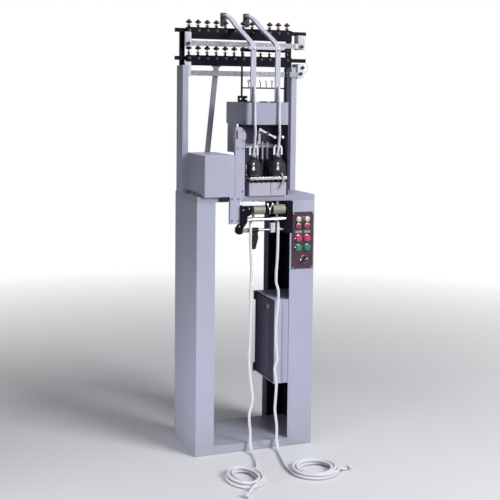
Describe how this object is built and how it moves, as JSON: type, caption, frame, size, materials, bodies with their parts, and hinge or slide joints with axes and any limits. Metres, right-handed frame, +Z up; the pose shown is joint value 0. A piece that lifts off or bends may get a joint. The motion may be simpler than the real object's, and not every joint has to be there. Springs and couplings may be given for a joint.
{
  "type": "yarn braiding machine",
  "caption": "Upright yarn braiding machine: portal stand, table with braiding heads, tensioner creel on posts, take-up rollers below, panel on the right leg and finished cord on the floor.",
  "frame": {"origin": "centre of the base's underside, on the floor", "axes": "+X to the operator's right, +Y away from the operator, +Z up"},
  "size_m": [0.669, 0.9535, 2.056],
  "materials": {
    "lavender_grey_paint": "satin powder coat",
    "lavender_casting_paint": "satin, slightly rough casting",
    "dark_grey_paint": "satin",
    "black_paint": "semi-gloss",
    "black_rubber": "matte",
    "turned_steel": "turned",
    "bright_steel": "polished",
    "grey_strip_paint": "satin",
    "pale_bracket_paint": "satin",
    "motor_paint": "satin",
    "grey_lock": "satin",
    "pale_lens": "glossy",
    "red_plastic": "glossy",
    "green_plastic": "glossy",
    "dark_red_plastic": "glossy",
    "black_plastic": "satin",
    "white_yarn": "matte",
    "white_cord": "matte"
  },
  "bodies": {
    "machine": {"base_tray": "lavender_grey_paint", "left_leg": "lavender_grey_paint", "right_leg": "lavender_grey_paint", "table_top": "lavender_grey_paint", "electrical_cabinet": "lavender_grey_paint", "drive_cover": "lavender_grey_paint", "gear_housing": "lavender_grey_paint", "head_frame": "lavender_grey_paint", "hood": "lavender_grey_paint", "head_bracket": "lavender_grey_paint", "creel_post_left": "lavender_grey_paint", "creel_post_right": "lavender_grey_paint", "yarn_arms": "lavender_grey_paint", "stop_motion_casting": "lavender_casting_paint", "control_panel": "dark_grey_paint", "takeup_frame": "black_paint", "takeup_left_arm": "black_paint", "creel_frame": "black_paint", "guide_frame": "black_paint", "stop_switch": "black_plastic", "drive_belt": "black_rubber", "lower_rod": "turned_steel", "needle_tube_left": "bright_steel", "needle_tube_right": "bright_steel", "head_plate": "bright_steel", "guide_bar": "bright_steel", "creel_stay": "grey_strip_paint", "upper_creel_strip": "pale_bracket_paint", "lower_creel_strip": "pale_bracket_paint", "yarn_guides": "pale_bracket_paint", "drive_motor": "motor_paint", "panel_lamps": "pale_lens", "upper_tensioners": "dark_red_plastic", "lower_tensioners": "dark_red_plastic", "yarn_left": "white_yarn", "yarn_right": "white_yarn", "cord_hang_left": "white_cord", "cord_hang_right": "white_cord", "cord_pile_left": "white_cord", "cord_pile_right": "white_cord", "cord_knot_left": "white_cord", "cord_knot_right": "white_cord"},
    "head_left": {"braiding_drum_left": "black_plastic", "head_gear_left": "turned_steel"},
    "head_right": {"braiding_drum_right": "black_plastic", "head_gear_right": "turned_steel"},
    "drive": {"drive_shaft": "turned_steel"},
    "motor_rotor": {"motor_pulley": "turned_steel"},
    "front_roller_shaft": {"front_rollers": "turned_steel"},
    "rear_roller_shaft": {"rear_rollers": "black_rubber"},
    "clamp": {"clamp_handle": "black_plastic"},
    "door": {"cabinet_door": "dark_grey_paint"},
    "lock": {"door_lock": "grey_lock"},
    "selector": {"selector_knob": "black_plastic"},
    "stop_left": {"stop_button_left": "red_plastic"},
    "stop_right": {"stop_button_right": "red_plastic"},
    "start_left": {"start_button_left": "green_plastic"},
    "start_right": {"start_button_right": "green_plastic"},
    "latch": {"cover_latch": "black_plastic"},
    "stop_arm": {"stop_lever": "bright_steel"}
  },
  "joints": [
    {"name": "head_left_spin", "type": "hinge", "parent": "machine", "child": "head_left", "pos_m": [-0.012, -0.15, 1.21], "axis": [0, 0, 1], "continuous": true},
    {"name": "head_right_spin", "type": "hinge", "parent": "machine", "child": "head_right", "pos_m": [0.108, -0.15, 1.21], "axis": [0, 0, 1], "continuous": true},
    {"name": "drive_spin", "type": "hinge", "parent": "machine", "child": "drive", "pos_m": [0.048, -0.117, 1.21], "axis": [0, 0, 1], "continuous": true},
    {"name": "motor_spin", "type": "hinge", "parent": "machine", "child": "motor_rotor", "pos_m": [-0.19, -0.095, 1.2395], "axis": [0, 0, 1], "continuous": true},
    {"name": "rear_rollers_spin", "type": "hinge", "parent": "machine", "child": "rear_roller_shaft", "pos_m": [0.05, -0.1207, 1.1375], "axis": [1, 0, 0], "continuous": true},
    {"name": "front_rollers_spin", "type": "hinge", "parent": "machine", "child": "front_roller_shaft", "pos_m": [0.05, -0.1793, 1.1375], "axis": [1, 0, 0], "continuous": true},
    {"name": "clamp_swing", "type": "hinge", "parent": "machine", "child": "clamp", "pos_m": [-0.01, -0.172, 1.042], "axis": [1, 0, 0], "range_deg": [-75, 20]},
    {"name": "door_swing", "type": "hinge", "parent": "machine", "child": "door", "pos_m": [0.0887, 0.074, 0.507], "axis": [0, 0, 1], "range_deg": [-100, 0]},
    {"name": "lock_turn", "type": "hinge", "parent": "door", "child": "lock", "pos_m": [0.0922, -0.1117, 0.668], "axis": [1, 0, 0], "range_deg": [-90, 0]},
    {"name": "selector_turn", "type": "hinge", "parent": "machine", "child": "selector", "pos_m": [0.24, -0.1746, 0.895], "axis": [0, 1, 0], "range_deg": [-90, 0]},
    {"name": "latch_turn", "type": "hinge", "parent": "machine", "child": "latch", "pos_m": [-0.165, -0.1703, 1.1875], "axis": [0, 1, 0], "range_deg": [0, 90]},
    {"name": "stop_lever_tilt", "type": "hinge", "parent": "machine", "child": "stop_arm", "pos_m": [0.048, -0.165, 1.487], "axis": [0, 1, 0], "range_deg": [-40, 25]},
    {"name": "stop_left_press", "type": "slide", "parent": "machine", "child": "stop_left", "axis": [0, 1, 0], "range_m": [0, 0.004], "stiffness_N_per_m": 400},
    {"name": "stop_right_press", "type": "slide", "parent": "machine", "child": "stop_right", "axis": [0, 1, 0], "range_m": [0, 0.004], "stiffness_N_per_m": 400},
    {"name": "start_left_press", "type": "slide", "parent": "machine", "child": "start_left", "axis": [0, 1, 0], "range_m": [0, 0.004], "stiffness_N_per_m": 400},
    {"name": "start_right_press", "type": "slide", "parent": "machine", "child": "start_right", "axis": [0, 1, 0], "range_m": [0, 0.004], "stiffness_N_per_m": 400}
  ],
  "couplings": [
    {"joint": "head_right_spin", "follows": "head_left_spin", "ratio": 1},
    {"joint": "drive_spin", "follows": "head_left_spin", "ratio": -0.52174},
    {"joint": "motor_spin", "follows": "head_left_spin", "ratio": -0.63043},
    {"joint": "rear_rollers_spin", "follows": "head_left_spin", "ratio": 0.083333},
    {"joint": "front_rollers_spin", "follows": "head_left_spin", "ratio": -0.083333}
  ]
}
